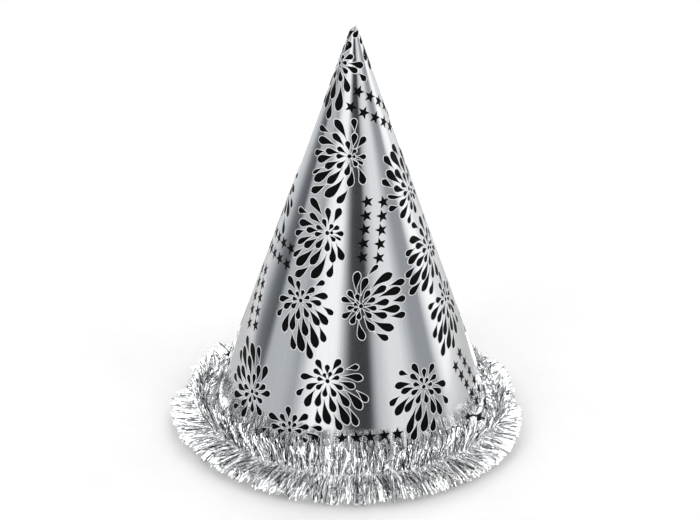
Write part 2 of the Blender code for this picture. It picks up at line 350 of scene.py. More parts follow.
# The card


def wave(angle):
    """How far the card bulges at the brim where it isn't quite round."""
    return sum(height * np.sin(number * angle + start) for height, number, start in WAVES)


def climb(angle):
    """0 where the sheet starts inside the overlap, 1 where it lies on the cone."""
    ramp = np.clip((angle - OVERLAP) / RAMP, 0, 1)
    return ramp * ramp * (3 - 2 * ramp)


def on_card(slant, angle, lift):
    """Points above the sheet's outer face. The plies lie closer together towards the tip."""
    step = PLY_STEP * np.minimum(1, TIGHT_SHARE + (1 - TIGHT_SHARE) * slant / TIGHT_LENGTH)
    lift = lift + slant / SLANT * wave(angle) + step * (climb(angle) - 1)
    radius = slant * SIN_CONE + lift * COS_CONE
    height = (SLANT - slant) * COS_CONE + lift * SIN_CONE
    return np.stack([-radius * np.sin(angle), radius * np.cos(angle), height], -1)


def tip_slant(angle):
    """The sheet's cut tip is a little askew, so one side of it stands higher."""
    return TIP_SLANT - TIP_SKEW * np.cos(angle - FACING - TIP_SKEW_SIDE)


def make_card(foil, board):
    angles = np.linspace(0, 2 * math.pi + OVERLAP, CARD_COLUMNS)
    share = np.linspace(0, 1, CARD_ROWS)[:, None]
    start = tip_slant(angles)[None]
    slants = start + (SLANT - start) * share
    spread = np.broadcast_to(angles, slants.shape)
    outside = on_card(slants, spread, 0)
    inside = on_card(slants, spread, -CARD)
    inside[-1, :, 2] = 0
    outside[-1, :, 2] = 0
    verts, faces, groups = slab(inside, outside)
    piece = make_piece(
        "printed_foil_cone", verts, faces.tolist(), "hat", [foil, board],
        (groups != 1).astype(int),
    )
    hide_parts("cone_card")


# The print


def heading(angle):
    """The direction on the flat sheet at an angle from down towards the right."""
    return np.array([math.sin(angle), math.cos(angle)])


def to_sheet(flat):
    """(slant, angle round the hat) of points on the flat sheet."""
    slant = np.linalg.norm(flat, axis=-1)
    return slant, FACING + np.arctan2(flat[..., 0], flat[..., 1]) / SIN_CONE


def fits_sheet(flat):
    """Whether all the points lie on the sheet, clear of its edges."""
    slant, angle = to_sheet(flat)
    edge = EDGE_MARGIN / np.maximum(slant, TIP_SLANT) / SIN_CONE
    return bool(
        np.all(slant > tip_slant(angle) + EDGE_MARGIN) and np.all(slant < SLANT - EDGE_MARGIN)
        and np.all(angle > OVERLAP + edge) and np.all(angle < 2 * math.pi + OVERLAP - edge)
    )


def wrapped(flat, lift):
    """Points of the flat sheet, where they are once it is rolled."""
    slant, angle = to_sheet(flat)
    return on_card(slant, angle, lift)


def drop_half(count, width):
    """Half the width of a drop-shaped petal at each point of its line, from its pointed end."""
    place = np.sin(np.linspace(0, 1, count) * math.pi / 2)
    half = 0.5 * width * np.maximum(np.sin(math.pi * place**2.4), 0) ** 0.65
    half[0] = PETAL_POINT
    half[-1] = 0.4 * half[-2]
    return half


def drop(line, width, grown):
    """The flat grid of a petal along a line."""
    along = unit(np.gradient(line, axis=0))
    across = np.stack([along[:, 1], -along[:, 0]], -1)
    offset = (drop_half(len(line), width) + grown)[:, None] * np.array([-1, 0, 1])
    return line[:, None] + offset[..., None] * across[:, None]


def petal_line(centre, direction, lean, first, last):
    """Points along one spoke of a burst, which bends towards the side that the burst leans to."""
    marks = first + (last - first) * np.sin(np.linspace(0, 1, PETAL_STEPS) * math.pi / 2)
    fine = np.linspace(0, last, 5 * PETAL_STEPS)
    turn = direction + PETAL_BEND * fine * math.sin(lean - direction)
    step = last / (len(fine) - 1)
    across = centre[0] + np.concatenate([[0], np.cumsum(step * np.sin(turn))[:-1]])
    down = centre[1] + np.concatenate([[0], np.cumsum(step * np.cos(turn))[:-1]])
    return np.stack([np.interp(marks, fine, across), np.interp(marks, fine, down)], -1)


def burst_petals(lean, taller, rng):
    """(direction, first, last, width) of every petal of one burst."""
    petals = []
    turn = rng.uniform(0, 2 * math.pi)
    for half_spoke, start, length, width, least in RINGS:
        for spoke in range(SPOKES):
            direction = turn + 2 * math.pi * (spoke + half_spoke / 2) / SPOKES
            direction += rng.uniform(-PETAL_TURN, PETAL_TURN)
            stretch = 1 + STRETCH * math.cos(direction - lean) + taller * math.cos(2 * direction)
            if stretch > least:
                first = start * stretch
                last = first + length * stretch * rng.uniform(0.90, 1.0)
                petals.append((direction, first, last, width * math.sqrt(stretch)))
    return petals


def disc(centre, radius):
    """The flat grid of a dot."""
    rows = np.linspace(-1, 1, 7)
    rows = np.sin(rows * math.pi / 2)
    half = np.sqrt(np.maximum(1 - rows**2, 0.03))
    columns = np.linspace(-1, 1, 5)
    across = centre[0] + radius * half[:, None] * columns
    down = centre[1] + radius * np.broadcast_to(rows[:, None], across.shape)
    return np.stack([across, down], -1)


def raised(flat, lift):
    """A thin solid of ink over a grid of points on the flat sheet."""
    verts, faces, _ = slab(wrapped(flat, lift), wrapped(flat, INK_ROOT))
    return verts, faces.tolist()


def star_solid(centre, turn):
    """A thin five-pointed star, as rings of points round its centre, or None where it doesn't fit."""
    places = [np.zeros(2)]
    for ring in range(1, STAR_RINGS + 1):
        for corner in range(10):
            reach = STAR_RADIUS * ring / STAR_RINGS * (1 if corner % 2 == 0 else STAR_WAIST)
            places.append(reach * heading(turn + math.pi + math.pi * corner / 5))
    flat = np.array(centre) + np.array(places)
    if not fits_sheet(flat):
        return None
    count = len(flat)
    faces = []
    for corner in range(10):
        after = (corner + 1) % 10
        faces.append((0, 1 + corner, 1 + after))
        for ring in range(STAR_RINGS - 1):
            inner = 1 + 10 * ring
            faces.append((inner + corner, inner + 10 + corner, inner + 10 + after, inner + after))
    bottom = [tuple(count + v for v in reversed(face)) for face in faces]
    last = 1 + 10 * (STAR_RINGS - 1)
    rim = []
    for corner in range(10):
        after = (corner + 1) % 10
        rim.append((last + corner, count + last + corner, count + last + after, last + after))
    verts = np.concatenate([wrapped(flat, INK_LIFT), wrapped(flat, INK_ROOT)])
    return verts, faces + bottom + rim


def star_places(centre, turn):
    """The centres of two rows of five stars."""
    right = heading(turn + math.pi / 2)
    down = heading(turn)
    return [
        centre + row * STAR_ROW_STEP * down + column * STAR_STEP * right
        for row in (-0.5, 0.5) for column in range(-2, 3)
    ]


def scatter_print():
    """Where every burst and block of stars goes: the listed ones, then the rest of the sheet."""
    rng = np.random.default_rng(20)
    bursts = [(np.array(listed[:2]), math.radians(listed[2]), listed[3]) for listed in BURSTS]
    blocks = [(np.array(listed[:2]), -math.radians(listed[2])) for listed in STAR_ROWS]
    taken = [listed[0] for listed in bursts + blocks]
    for share in TIGHTER:
        for _ in range(TRIES):
            slant = SLANT * math.sqrt(rng.uniform(0.004, 1))
            round_hat = rng.uniform(OVERLAP, 2 * math.pi + OVERLAP)
            flat = slant * heading((round_hat - FACING) * SIN_CONE)
            if abs(round_hat - FACING) < LISTED_SIDE and slant < LISTED_DOWN:
                continue
            if min(np.linalg.norm(flat - other) for other in taken) < share * SPACING:
                continue
            taken.append(flat)
            turn = len(taken) * SCATTER_TURN
            if len(taken) % 3 == 0:
                blocks.append((flat, turn))
            else:
                bursts.append((flat, turn, SCATTER_TALLER))
    return bursts, blocks


class Sheet:
    """Remembers where there is print, so that no mark is laid over another."""

    def __init__(self):
        self.places = np.zeros((0, 2))
        self.reaches = np.zeros(0)

    def free(self, places, reaches):
        """Whether discs of these reaches stay clear of all the print so far."""
        gaps = np.linalg.norm(self.places[None] - places[:, None], axis=-1)
        gaps -= self.reaches[None] + reaches[:, None]
        return gaps.size == 0 or gaps.min() > PETAL_GAP

    def take(self, places, reaches):
        self.places = np.concatenate([self.places, places])
        self.reaches = np.concatenate([self.reaches, reaches])


def beyond_point(line, width):
    """The part of a petal that needs room of its own: the points of its line and half its width there."""
    return line[3:], drop_half(len(line), width)[3:]


def fitted_petal(sheet, line, width):
    """The width that a petal can have without touching the print beside it, or None."""
    for share in NARROWER:
        if sheet.free(*beyond_point(line, share * width)):
            return share * width
    return None


def star_solids(blocks, sheet):
    """Every star that finds room."""
    stars = []
    reach = np.array([STAR_ROOM * STAR_RADIUS])
    for centre, turn in blocks:
        for place in star_places(centre, turn):
            star = star_solid(place, turn)
            if star and sheet.free(place[None], reach):
                stars.append(star)
                sheet.take(place[None], reach)
    return stars


def burst_solids(bursts, sheet):
    """Every petal and dot that finds room, and the pale outlines below them."""
    rng = np.random.default_rng(7)
    inked = []
    outlined = []
    for centre, lean, taller in bursts:
        dot = disc(centre, DOT_RADIUS)
        if fits_sheet(dot):
            inked.append(raised(dot, INK_LIFT))
            outlined.append(raised(disc(centre, DOT_RADIUS + OUTLINE), OUTLINE_LIFT))
        for direction, first, last, width in burst_petals(lean, taller, rng):
            line = petal_line(centre, direction, lean, first, last)
            width = fitted_petal(sheet, line, width)
            if not width or not fits_sheet(drop(line, width, 0)):
                continue
            sheet.take(*beyond_point(line, width))
            inked.append(raised(drop(line, width, 0), INK_LIFT))
            longer = petal_line(centre, direction, lean, first - OUTLINE, last + OUTLINE)
            edge = drop(longer, width, OUTLINE)
            if fits_sheet(edge):
                outlined.append(raised(edge, OUTLINE_LIFT))
    return inked, outlined


def make_print(ink, outline):
    sheet = Sheet()
    bursts, blocks = scatter_print()
    stars = star_solids(blocks, sheet)
    inked, outlined = burst_solids(bursts, sheet)
    for name, solids, finish in (
        ("burst_print", inked, ink), ("burst_outlines", outlined, outline), ("star_print", stars, ink),
    ):
        verts, faces = join(solids)
        make_piece(name, verts, faces, "hat", [finish], sharp=60)


# The garland


def from_facing(around):
    """The angle from the side that faces the camera, from -pi to pi."""
    return (around - FACING + math.pi) % (2 * math.pi) - math.pi


def smooth(value, low, high):
    share = np.clip((value - low) / (high - low), 0, 1)
    return share * share * (3 - 2 * share)


def between_angles(facing, start, full, fading, end):
    """1 on both sides of the hat between two angles in degrees, fading to 0 before and after them."""
    turned = np.abs(np.degrees(facing))
    return smooth(turned, start, full) * (1 - smooth(turned, fading, end))


def measured(table, around):
    """The other columns of a table, read off by the angle from the facing side in its first column."""
    degrees, *columns = zip(*table)
    return [np.interp(np.degrees(from_facing(around)), degrees, column) for column in columns]


def core_line(around):
    """The garland's core: it runs round the brim, tucked in towards the card behind the sides."""
    tucked = between_angles(from_facing(around) + TUCK_TURN, *TUCKED)
    radius = CORE_RADIUS - TUCK * tucked
    return radius[:, None] * outward(around) + CORE_HEIGHT * UP


def clumps(angle, rng, low, high, count):
    """A wavy number round the hat, about 1 in size: a count of waves with low to high crests round it."""
    total = np.zeros_like(angle)
    for turns in rng.integers(low, high, count):
        total += np.sin(turns * angle + rng.uniform(0, 2 * math.pi))
    return total / math.sqrt(count / 2)


def alike(rng, spread, own):
    """A number for every strand, nearly the same within a bundle."""
    return np.repeat(rng.normal(0, spread, BUNDLES), BUNDLE) + rng.normal(0, own, STRANDS)


def grow_strands(rng, around, rise, length):
    """Points along every strand from the garland's core, each starting at its own angle of rise."""
    radial = outward(around)
    tangent = onward(around)
    facing = from_facing(around)
    lean = LEAN_WAVE * clumps(around, rng, 30, 110, 9) + alike(rng, *LEAN_SPREAD)
    lean += SIDE_LEAN * np.sign(facing) * smooth(np.abs(facing), math.radians(45), math.radians(85))
    for parting in PARTINGS:
        away = (facing - parting) / PARTING_WIDTH
        lean += PARTING_LEAN * away * np.exp(-(away**2))
    rise = rise + RISE_WAVE * clumps(around, rng, 25, 90, 9)
    bend = alike(rng, *BEND_SPREAD)
    sway = alike(rng, *SWAY_SPREAD)
    curl = rng.uniform(0.0, CURL, STRANDS)
    phase = rng.uniform(0, 2 * math.pi, STRANDS)
    start = rng.uniform(0, 2 * math.pi, STRANDS)
    offset = 0.8 * TWIST_RADIUS * (np.cos(start)[:, None] * radial + np.sin(start)[:, None] * UP)
    place = core_line(around) + offset
    places = [place]
    for step in range(STEPS):
        t = (step + 0.5) / STEPS
        tilt = rise + bend * t + curl * np.sin(phase + 7 * t)
        turn = lean + sway * t + curl * np.cos(phase + 6 * t)
        way = np.cos(turn)[:, None] * (np.cos(tilt)[:, None] * radial + np.sin(tilt)[:, None] * UP)
        way += np.sin(turn)[:, None] * tangent
        place = place + length[:, None] / STEPS * way
        places.append(place)
    return np.stack(places, 1)


def keep_off(places, rng):
    """Moves strands out of the card and up off the table, each to its own small distance."""
    clear = rng.uniform(*CARD_CLEARANCES, len(places))[:, None]
    above = rng.uniform(*TABLE_CLEARANCES, len(places))[:, None]
    places[..., 2] = np.maximum(places[..., 2], above)
    radius = np.hypot(places[..., 0], places[..., 1])
    least = BRIM_RADIUS - places[..., 2] * SLOPE + clear
    push = np.maximum(least / radius, 1)
    places[..., 0] *= push
    places[..., 1] *= push
    return places


def foil_ribbons(places, around, roll, rng):
    """Thin three-sided strips along the strands: points and faces of all of them."""
    count, steps = places.shape[:2]
    along = unit(np.gradient(places, axis=1))
    normal = unit(np.cross(along, onward(around)[:, None]))
    side = np.cross(normal, along)
    twist = roll[:, None] + rng.normal(0, TWIST_SPREAD, count)[:, None] * np.linspace(0, 1, steps)
    flat = np.cos(twist)[..., None] * side + np.sin(twist)[..., None] * normal
    thick = np.cross(along, flat)
    taper = np.minimum(1, 0.45 + 3.5 * np.linspace(0, 1, steps))
    width = FOIL_WIDTH * rng.uniform(*WIDTH_SHARES, count)[:, None] * taper
    half = 0.5 * width[..., None] * flat
    verts = np.stack([places - half, places + half, places + FOIL_THICK * thick], 2)
    verts = verts.reshape(count, -1, 3)
    pattern = []
    for step in range(steps - 1):
        for j in range(3):
            k = (j + 1) % 3
            pattern.append((3 * step + j, 3 * step + k, 3 * step + 3 + k, 3 * step + 3 + j))
    ends = np.array([(2, 1, 0), (3 * steps - 3, 3 * steps - 2, 3 * steps - 1)])
    starts = np.arange(count)[:, None, None] * verts.shape[1]
    faces = (np.array(pattern)[None] + starts).reshape(-1, 4).tolist()
    faces += (ends[None] + starts).reshape(-1, 3).tolist()
    return verts.reshape(-1, 3), faces


def beside_knots(places):
    """Which strands touch a knot of the elastic or, at the right one, would hide it from the camera."""
    filled = 0.5 * (places[:, :-1] + places[:, 1:])
    points = np.concatenate([places, filled], 1)
    to_camera = np.array(TO_CAMERA)
    hidden = np.zeros(len(places), bool)
    for side, opened in OPENED:
        away = points - np.array([knot_place(side), 0, HOLE_HEIGHT])
        along = np.clip(away @ to_camera, 0, opened)
        gap = np.linalg.norm(away - along[..., None] * to_camera, axis=-1)
        hidden |= (gap < KNOT_RADIUS + KNOT_ROOM).any(1)
    return hidden


def make_brush(name, node, seed, table, inward_share, finish):
    """One half of the garland's foil. The inward share fills the gap between the core and the card."""
    rng = np.random.default_rng(seed)
    middles = 2 * math.pi * (np.arange(BUNDLES) + rng.uniform(-0.5, 0.5, BUNDLES)) / BUNDLES
    offsets = BUNDLE_STEP * (np.arange(BUNDLE) - (BUNDLE - 1) / 2)
    around = (middles[:, None] + offsets).ravel() + rng.normal(0, PLACE_SPREAD, STRANDS)
    length, least, greatest = measured(table, around)
    length = length * rng.uniform(*LENGTH_SHARES, STRANDS)
    share = np.repeat(rng.uniform(0, 1, BUNDLES), BUNDLE) + rng.normal(0, 0.02, STRANDS)
    rise = np.radians(least + (greatest - least) * share)
    inward = np.repeat(rng.uniform(0, 1, BUNDLES) < inward_share, BUNDLE)
    rise[inward] = rng.uniform(*INWARD_RISES, inward.sum())
    length[inward] = rng.uniform(*INWARD_SHARES, inward.sum()) * INWARD_LENGTH
    places = keep_off(grow_strands(rng, around, rise, length), rng)
    seen = ~beside_knots(places)
    verts, faces = foil_ribbons(places[seen], around[seen], alike(rng, *ROLL_SPREAD)[seen], rng)
    piece = make_piece(name, verts, faces, "hat", [finish], sharp=30)
    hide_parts(node)


def make_core_threads(finish):
    """The garland's two threads, wound round each other."""
    twists = 118
    count = 10 * twists
    around = 2 * math.pi * np.arange(count) / count
    for name, start in (("a", 0), ("b", math.pi)):
        twist = twists * around + start
        centres = core_line(around) + 0.75 * TWIST_RADIUS * (
            np.cos(twist)[:, None] * outward(around) + np.sin(twist)[:, None] * UP
        )
        side, rise = frames_along(centres, True, UP)
        section = round_section(np.full(count, THREAD_RADIUS), 7)
        verts, faces = sweep(centres, side, rise, section, True)
        piece = make_piece("twisted_core_thread_" + name, verts, faces, "hat", [finish], sharp=80)
        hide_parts("garland_core_thread_" + name)


def make_glue(finish):
    """The line of hot glue between the card and the garland, uneven as it comes out of the gun."""
    low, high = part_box("garland_glue_bead")
    bead = 0.0011
    centre_radius = high.x - bead
    count = 420
    rng = np.random.default_rng(5)
    around = 2 * math.pi * np.arange(count) / count
    thick = bead * (0.86 + 0.07 * clumps(around, rng, 5, 60, 9).clip(-1.9, 1.9))
    centres = centre_radius * outward(around) + (low.z + high.z) / 2 * UP
    side, rise = frames_along(centres, True, UP)
    verts, faces = sweep(centres, side, rise, round_section(thick, 10), True)
    piece = make_piece("hot_glue_line", verts, faces, "hat", [finish], sharp=80)
    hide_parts("garland_glue_bead")


# The elastic


def knot_place(side):
    """Where a knot lies along the line through the holes: the right one stands a little off the card."""
    against_card = BRIM_RADIUS - HOLE_HEIGHT * SLOPE + (KNOT_RADIUS + GAP) / COS_CONE
    return against_card + KNOT_SLACK if side > 0 else -against_card


def bow_line():
    """The elastic's centre line from knot to knot, with a few soft kinks left from its packing."""
    half = []
    for turn in np.linspace(math.pi / 2, math.pi, 9):
        half.append((
            BOW_RADIUS + BOW_BEND + BOW_BEND * math.cos(turn), BOW_BEND - BOW_BEND * math.sin(turn),
        ))
    for turn in np.linspace(0, math.pi / 2, 90)[1:]:
        half.append((BOW_RADIUS * math.cos(turn), BOW_BEND + BOW_RADIUS * math.sin(turn)))
    right_end = [(knot_place(1) + INTO_KNOT, 0)]
    left_end = [(knot_place(-1) - INTO_KNOT, 0)]
    whole = np.array(right_end + half + [(-x, depth) for x, depth in reversed(half[:-1])] + left_end)
    lengths = np.concatenate([[0], np.cumsum(np.linalg.norm(np.diff(whole, axis=0), axis=1))])
    marks = np.arange(0, lengths[-1], CORD_RADIUS / 3)
    x = np.interp(marks, lengths, whole[:, 0])
    depth = np.interp(marks, lengths, whole[:, 1])
    kink = KINK * np.sin(marks * 310) * np.sin(marks * 97)
    down, back = math.sin(BOW_REST), math.cos(BOW_REST)
    return np.stack([
        x, depth * back + kink * down, HOLE_HEIGHT - depth * down + kink * back,
    ], -1)


def braided(centres, radius, closed=False):
    """A round cord whose sleeve of yarns shows as small crossing ridges."""
    hint = np.array([0.0, 0.35, 0.94])
    side, up = frames_along(centres, closed, hint)
    gaps = np.linalg.norm(np.diff(centres, axis=0), axis=1)
    along = np.concatenate([[0], np.cumsum(gaps)])[:, None]
    turn = 2 * math.pi * np.arange(CORD_CORNERS)[None] / CORD_CORNERS
    wound = 2 * math.pi * along / YARN_PITCH
    ridges = np.abs(np.sin(3 * turn + wound)) + np.abs(np.sin(3 * turn - wound))
    radii = radius * (0.90 + 0.06 * ridges)
    return sweep(centres, side, up, round_section(radii, CORD_CORNERS), closed)


def knot_line(side):
    """An overhand knot lying flat against the card, with the cord's cut end coming out of it."""
    turn = np.linspace(0, 2 * math.pi, 120, endpoint=False)
    x = knot_place(side) - side * (0.0004 + KNOT_SIZE * np.sin(3 * turn))
    y = KNOT_SIZE * (np.sin(turn) + 2 * np.sin(2 * turn))
    z = HOLE_HEIGHT + 1.08 * KNOT_SIZE * (np.cos(turn) - 2 * np.cos(2 * turn))
    return np.stack([x, y, z], -1)


def cut_end_line(side):
    """The short end that stands out of a knot."""
    t = np.linspace(0, 1, 14)
    x = knot_place(side) + side * (0.0006 + 0.0021 * t)
    y = 0.0004 + 0.0007 * t
    z = HOLE_HEIGHT - 0.0003 - 0.0013 * t**2
    return np.stack([x, y, z], -1)


def make_elastic(finish):
    """The elastic with both knots and their cut ends, as one piece."""
    solids = [braided(bow_line(), CORD_RADIUS)]
    for side in (-1, 1):
        solids.append(braided(knot_line(side), CORD_RADIUS, closed=True))
        solids.append(braided(cut_end_line(side), 0.9 * CORD_RADIUS))
    verts, faces = join(solids)
    piece = make_piece("braided_chin_elastic", verts, faces, "chin_strap", [finish], sharp=80)
    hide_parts("chin_elastic")


# Materials


def node(tree, kind, values=None, **settings):
    """A node with its settings, and its inputs set to values or linked to other nodes' outputs."""
    made = tree.nodes.new("ShaderNode" + kind)
    for name, value in settings.items():
        setattr(made, name, value)
    for name, value in (values or {}).items():
        if isinstance(value, bpy.types.NodeSocket):
            tree.links.new(value, made.inputs[name])
        else:
            made.inputs[name].default_value = value
    return made


def new_material(name, **shader_values):
    """A material with its nodes and shader, whose sockets are named with _ for a space."""
    made = bpy.data.materials.new(name)
    made.use_nodes = True
    tree = made.node_tree
    shader = tree.nodes["Principled BSDF"]
    for socket, value in shader_values.items():
        shader.inputs[socket.replace("_", " ")].default_value = value
    return made, tree, shader


def round_the_hat(tree, around, upwards):
    """Coordinates that follow the direction round the hat's axis, so that marks narrow with the cone."""
    place = node(tree, "TexCoord").outputs["Object"]
    parts = node(tree, "SeparateXYZ", {"Vector": place})
    level = node(tree, "CombineXYZ", {"X": parts.outputs["X"], "Y": parts.outputs["Y"]})
    facing = node(tree, "VectorMath", {0: level.outputs["Vector"]}, operation="NORMALIZE")
    height = node(tree, "CombineXYZ", {"Z": parts.outputs["Z"]})
    both = node(
        tree, "VectorMath", {0: facing.outputs["Vector"], 1: height.outputs["Vector"]}, operation="ADD",
    )
    return node(
        tree, "Mapping", {"Vector": both.outputs["Vector"], "Scale": (around, around, upwards)},
    ).outputs["Vector"]


def noise(tree, vector, scale, detail):
    return node(
        tree, "TexNoise", {"Vector": vector, "Scale": scale, "Detail": detail, "Roughness": 0.55},
    ).outputs["Fac"]


def speckle(tree, scale, detail):
    """A noise that is as fine in every direction."""
    return noise(tree, node(tree, "TexCoord").outputs["Object"], scale, detail)


def between(tree, factor, low, high):
    """A number that goes from low to high as a noise goes from 0.3 to 0.7."""
    return node(
        tree, "MapRange",
        {"Value": factor, "From Min": 0.3, "From Max": 0.7, "To Min": low, "To Max": high},
    ).outputs["Result"]


def blend_colours(tree, factor, first, second):
    """A colour that goes from the first to the second as a noise goes from 0.3 to 0.7."""
    ramp = node(tree, "ValToRGB", {"Fac": factor})
    ramp.color_ramp.elements[0].position = 0.3
    ramp.color_ramp.elements[1].position = 0.7
    ramp.color_ramp.elements[0].color = (*first, 1)
    ramp.color_ramp.elements[1].color = (*second, 1)
    return ramp.outputs["Color"]


def bump(tree, shader, height, strength, distance):
    """Gives a shader fine relief."""
    made = node(tree, "Bump", {"Height": height, "Strength": strength, "Distance": distance})
    tree.links.new(made.outputs["Normal"], shader.inputs["Normal"])


def foil_material():
    """Metallised film on card: satin, with faint drawing lines that run from tip to brim."""
    made, tree, shader = new_material("metallised_card", Metallic=1.0)
    lines = noise(tree, round_the_hat(tree, 130, 22), 1.0, 4)
    grain = speckle(tree, 2600, 2)
    clouds = speckle(tree, 34, 3)
    mixed = node(tree, "Mix", {"Factor": 0.35, "A": lines, "B": grain}).outputs["Result"]
    colour = blend_colours(tree, mixed, (0.805, 0.815, 0.830), (0.885, 0.890, 0.900))
    tree.links.new(colour, shader.inputs["Base Color"])
    tree.links.new(between(tree, clouds, 0.12, 0.16), shader.inputs["Roughness"])
    bump(tree, shader, lines, 0.10, 0.00003)
    return made


def board_material():
    """The card's bare side and cut edges: off-white pulp with short fibres and a few specks."""
    made, tree, shader = new_material("white_board", Metallic=0.0)
    fibres = noise(tree, round_the_hat(tree, 60, 900), 1.0, 3)
    pulp = speckle(tree, 900, 4)
    mixed = node(tree, "Mix", {"Factor": 0.5, "A": fibres, "B": pulp}).outputs["Result"]
    colour = blend_colours(tree, mixed, (0.70, 0.68, 0.63), (0.84, 0.83, 0.80))
    tree.links.new(colour, shader.inputs["Base Color"])
    tree.links.new(between(tree, pulp, 0.72, 0.9), shader.inputs["Roughness"])
    bump(tree, shader, mixed, 0.35, 0.00006)
    return made


def speckled_material(name, scale, detail, dark, light, rough=None, **shader_values):
    """A material whose colour and roughness follow one fine noise, its nodes, its shader and the noise."""
    made, tree, shader = new_material(name, **shader_values)
    fine = speckle(tree, scale, detail)
    tree.links.new(blend_colours(tree, fine, dark, light), shader.inputs["Base Color"])
    if rough:
        tree.links.new(between(tree, fine, *rough), shader.inputs["Roughness"])
    return made, tree, shader, fine


def ink_material():
    made, *parts = speckled_material(
        "black_ink", 1500, 3, (0.0012, 0.0012, 0.0014), (0.0035, 0.0035, 0.0038), (0.38, 0.55),
        Metallic=0.0, Specular_IOR_Level=0.04,
    )
    bump(*parts, 0.2, 0.00002)
    return made


def outline_material():
    """The dull pale line that borders every petal."""
    return speckled_material(
        "pale_outline", 1800, 3, (0.62, 0.63, 0.65), (0.78, 0.79, 0.80), (0.45, 0.6), Metallic=0.55,
    )[0]


def tinsel_material_with_painted_shade():
    """Bright metallised film, crinkled by slitting. A share of the strands is painted dark: painted shade
    and painted reflection, standing for strands that mirror the studio's dark parts and lie in shade among
    the others.
    """
    made, tree, shader = new_material("tinsel_film_painted_shade", Metallic=1.0)
    crinkle = speckle(tree, 1400, 2)
    patches = speckle(tree, 420, 2)
    # Painted shade: each strand's random number, mixed with streaks, picks how dark the ramp paints that
    # strand.
    strand = node(tree, "NewGeometry").outputs["Random Per Island"]
    streaks = noise(tree, round_the_hat(tree, 110, 12), 1.0, 1)
    shade = node(tree, "Mix", {"Factor": 0.55, "A": strand, "B": streaks}).outputs["Result"]
    ramp = node(tree, "ValToRGB", {"Fac": shade})
    for number, (position, level) in enumerate(TINSEL_PAINTED_SHADE):
        stop = ramp.color_ramp.elements[number] if number < 2 else ramp.color_ramp.elements.new(position)
        stop.position = position
        stop.color = (level * 0.985, level * 0.992, level, 1)
    tree.links.new(ramp.outputs["Color"], shader.inputs["Base Color"])
    tree.links.new(between(tree, patches, 0.06, 0.15), shader.inputs["Roughness"])
    bump(tree, shader, crinkle, 0.25, 0.00010)
    return made


def thread_material():
    made, *parts = speckled_material(
        "core_thread", 3200, 3, (0.55, 0.55, 0.57), (0.88, 0.88, 0.90),
        Metallic=0.0, Roughness=0.6, Sheen_Weight=0.3,
    )
    bump(*parts, 0.6, 0.0001)
    return made


def painted_shade_glue_material():
    # The milky glue is painted a dark grey: partly the silver foil showing through it, partly painted shade
    # for where it lies between the card and the garland.
    made, *parts = speckled_material(
        "hot_glue", 500, 2, (0.26, 0.26, 0.27), (0.36, 0.36, 0.37), (0.28, 0.5), Metallic=0.0,
    )
    bump(*parts, 0.3, 0.0001)
    return made


def tape_material():
    return speckled_material(
        "seam_tape_film", 260, 3, (0.78, 0.76, 0.68), (0.87, 0.86, 0.80), (0.4, 0.6), Metallic=0.0,
    )[0]


def elastic_material():
    made, *parts = speckled_material(
        "black_elastic", 4200, 3, (0.002, 0.002, 0.0022), (0.011, 0.011, 0.012), (0.65, 0.9),
        Metallic=0.0, Specular_IOR_Level=0.12,
    )
    bump(*parts, 0.5, 0.0001)
    return made


# Studio


def make_world():
    """Tall soft panels round the hat with dark gaps between them, and a bright ceiling."""
    world = bpy.data.worlds.new("studio")
    bpy.context.scene.world = world
    world.use_nodes = True
    tree = world.node_tree
    way = node(tree, "TexCoord").outputs["Generated"]
    turned = node(tree, "VectorRotate", {"Vector": way, "Angle": -CAMERA_SIDE}, rotation_type="Z_AXIS")
    parts = node(tree, "SeparateXYZ", {"Vector": turned.outputs["Vector"]})
    back = node(tree, "Math", {0: parts.outputs["Y"], 1: -1.0}, operation="MULTIPLY")
    bearing = node(tree, "Math", {0: parts.outputs["X"], 1: back.outputs["Value"]}, operation="ARCTAN2")
    share = node(
        tree, "MapRange", {"Value": bearing.outputs["Value"], "From Min": -math.pi, "From Max": math.pi},
    )
    ramp = node(tree, "ValToRGB", {"Fac": share.outputs["Result"]})
    stops = ramp.color_ramp.elements
    for number, (degrees, level) in enumerate(PANELS):
        position = (degrees + 180) / 360
        stop = stops[number] if number < 2 else stops.new(position)
        stop.position = position
        cool = COOL_SHADE * max(0, 1 - level)
        stop.color = (level * (1 - cool), level, level * (1 + cool), 1)
    lit = ramp.outputs["Color"]
    waves = node(tree, "Math", {0: bearing.outputs["Value"], 1: CEILING_PANELS}, operation="MULTIPLY")
    wave_height = node(tree, "Math", {0: waves.outputs["Value"]}, operation="SINE").outputs["Value"]
    overhead = node(
        tree, "MapRange",
        {
            "Value": wave_height, "From Min": -CEILING_EDGE, "From Max": CEILING_EDGE,
            "To Min": CEILING_GAP, "To Max": CEILING,
        },
    ).outputs["Result"]
    for (start, full), level in ((CEILING_RISE, overhead), (GROUND_DIP, (GROUND, GROUND, GROUND, 1))):
        share = node(
            tree, "MapRange", {"Value": parts.outputs["Z"], "From Min": start, "From Max": full},
        ).outputs["Result"]
        lit = node(tree, "Mix", {"Factor": share, "A": lit, "B": level}, data_type="RGBA").outputs["Result"]
    path = node(tree, "LightPath")
    seen = node(
        tree, "Mix", {"Factor": path.outputs["Is Camera Ray"], "A": lit, "B": BACKDROP}, data_type="RGBA",
    )
    background = tree.nodes["Background"]
    tree.links.new(seen.outputs["Result"], background.inputs["Color"])


